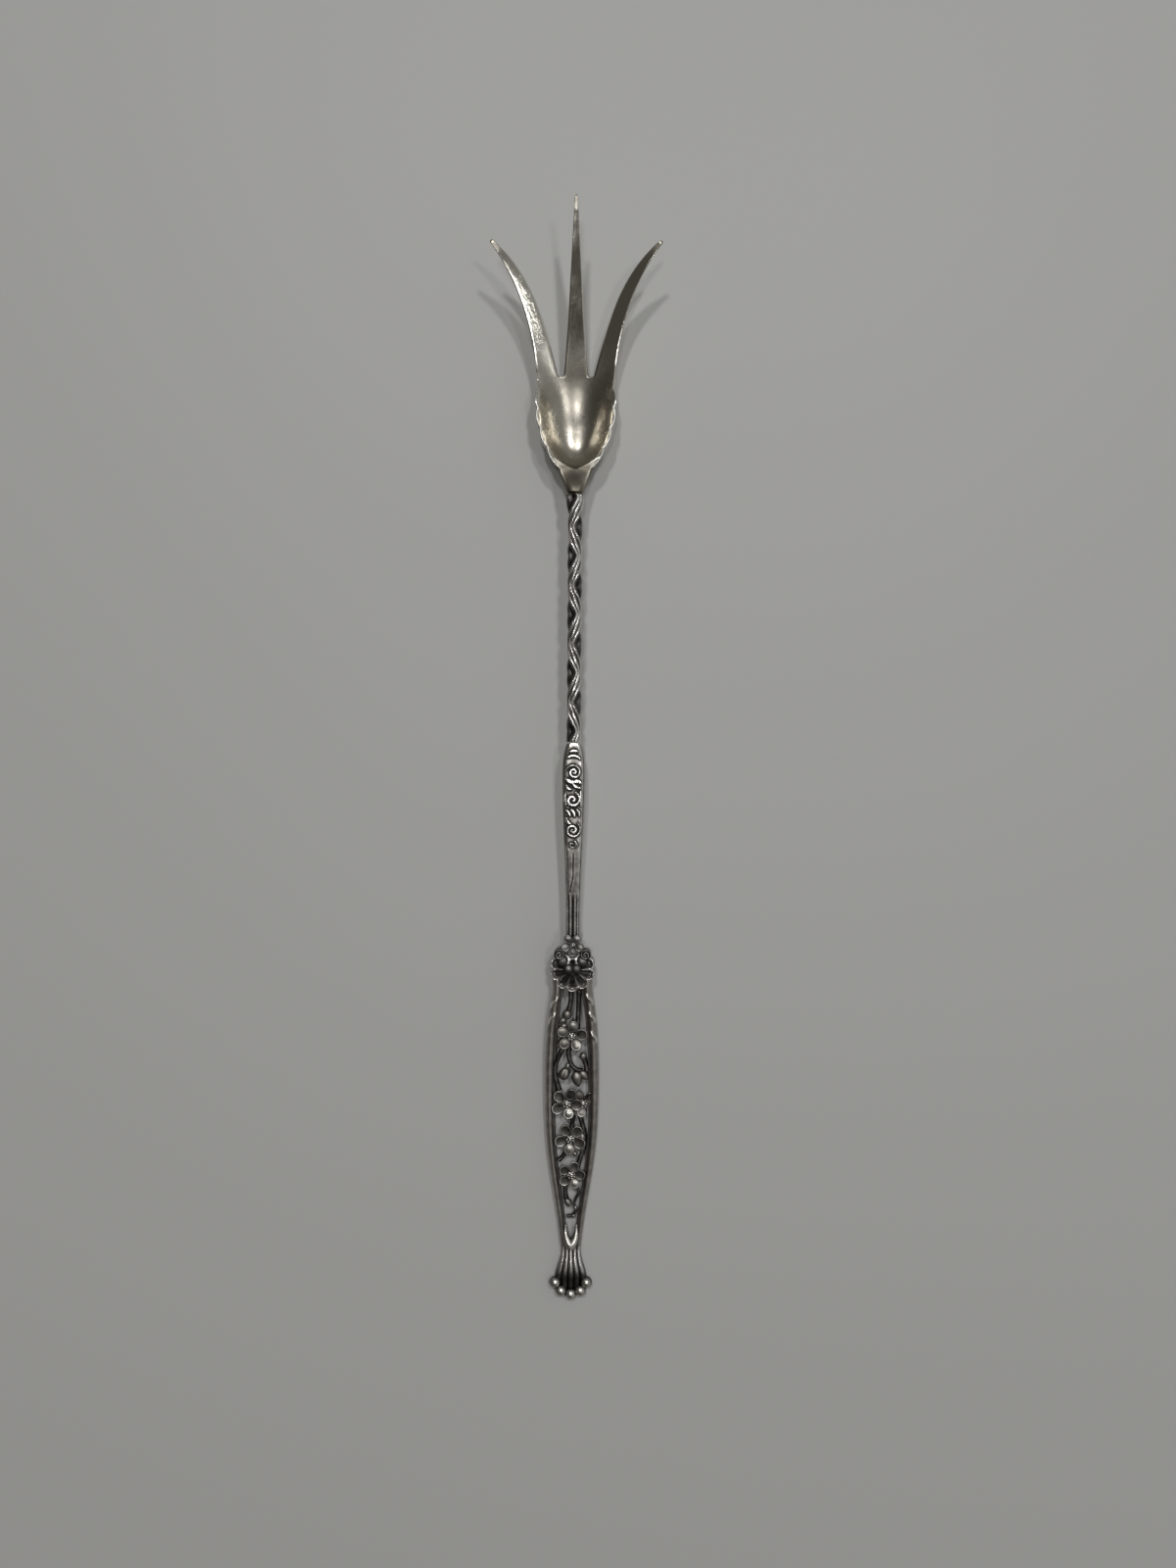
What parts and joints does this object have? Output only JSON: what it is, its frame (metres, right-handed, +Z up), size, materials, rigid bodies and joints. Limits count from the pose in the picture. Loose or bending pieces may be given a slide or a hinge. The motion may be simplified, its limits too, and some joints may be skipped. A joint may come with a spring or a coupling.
{
  "type": "lettuce fork",
  "caption": "Silver serving fork with flaring tines, a small scalloped bowl, a twisted bar and an openwork floral handle ending in a beaded fan.",
  "frame": {"origin": "middle of the bounding box's base, on the table the fork lies on", "axes": "+Y along the fork towards the tine tips, +Z up out of the front, +X to the right seen from above"},
  "size_m": [0.0358, 0.2312, 0.0142],
  "materials": {
    "polished_silver": "polished silver with fine scratches",
    "chased_silver": "chased silver, darkened in the cuts",
    "relief_silver": "relief silver, darkened in the hollows",
    "oxidised_silver": "darkened silver with worn edges",
    "bright_silver": "silver, bright on the high points"
  },
  "bodies": {
    "root": {"fork_head": "polished_silver", "twisted_shank": "chased_silver", "scroll_panel": "chased_silver", "shell_boss": "relief_silver", "boss_blossom": "bright_silver", "left_rail": "oxidised_silver", "right_rail": "oxidised_silver", "blossom_1": "bright_silver", "blossom_2": "bright_silver", "blossom_3": "bright_silver", "blossom_4": "bright_silver", "half_blossom": "oxidised_silver", "upper_bud": "oxidised_silver", "crown_stem": "oxidised_silver", "left_stem": "oxidised_silver", "bud_branch": "oxidised_silver", "side_bud": "oxidised_silver", "middle_stem": "oxidised_silver", "right_stem": "oxidised_silver", "left_tie": "oxidised_silver", "tail_bud": "oxidised_silver", "tail_stem": "oxidised_silver", "v_collar": "bright_silver", "fan_terminal": "relief_silver", "bead_cluster": "bright_silver"}
  },
  "joints": []
}
